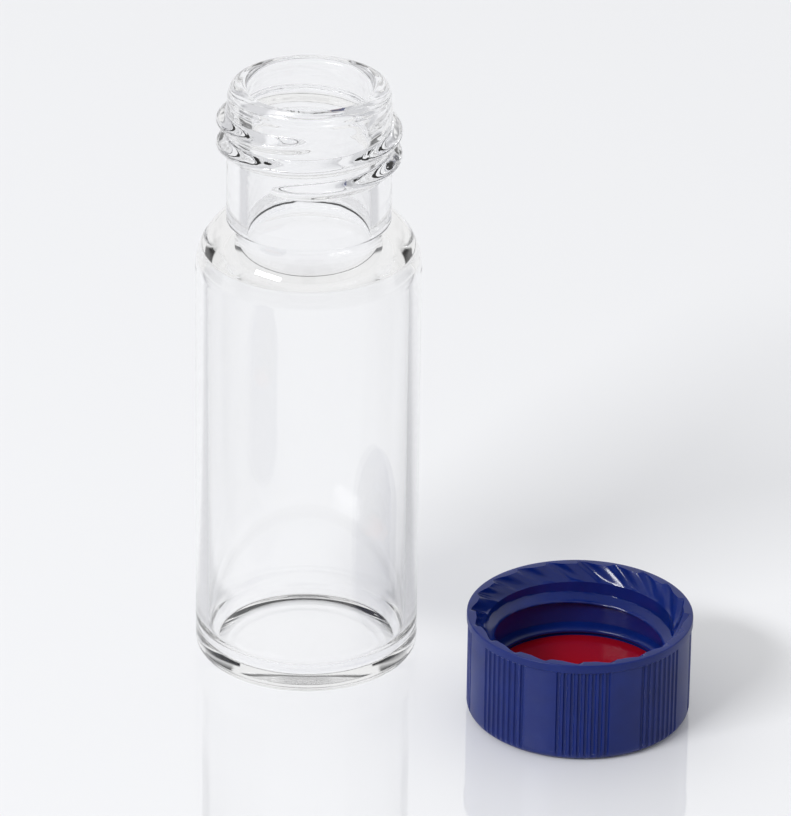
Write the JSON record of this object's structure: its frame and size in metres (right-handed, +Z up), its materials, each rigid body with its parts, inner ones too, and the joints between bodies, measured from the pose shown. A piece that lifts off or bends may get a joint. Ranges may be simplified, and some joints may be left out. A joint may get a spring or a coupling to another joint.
{
  "type": "glass sample vial",
  "caption": "Small clear glass vial with a threaded neck; its open-top screw cap with a two-layer septum stands beside it.",
  "frame": {"origin": "centre of the underside of the vial, on the surface that it stands on", "axes": "+Z up along the vial's axis, out of its mouth; -Y towards the viewer; the cap stands at +X -Y"},
  "size_m": [0.0256, 0.0184, 0.032],
  "materials": {
    "clear_glass": "clear borosilicate glass, fire-polished",
    "blue_plastic": "moulded blue polypropylene, satin outside and glossy inside",
    "white_silicone": "white silicone rubber, matt",
    "red_ptfe": "thin red PTFE facing, smooth and slightly glossy"
  },
  "bodies": {
    "root": {"glass_vial": "clear_glass", "screw_cap": "blue_plastic", "septum": "white_silicone", "septum_facing": "red_ptfe"}
  },
  "joints": []
}
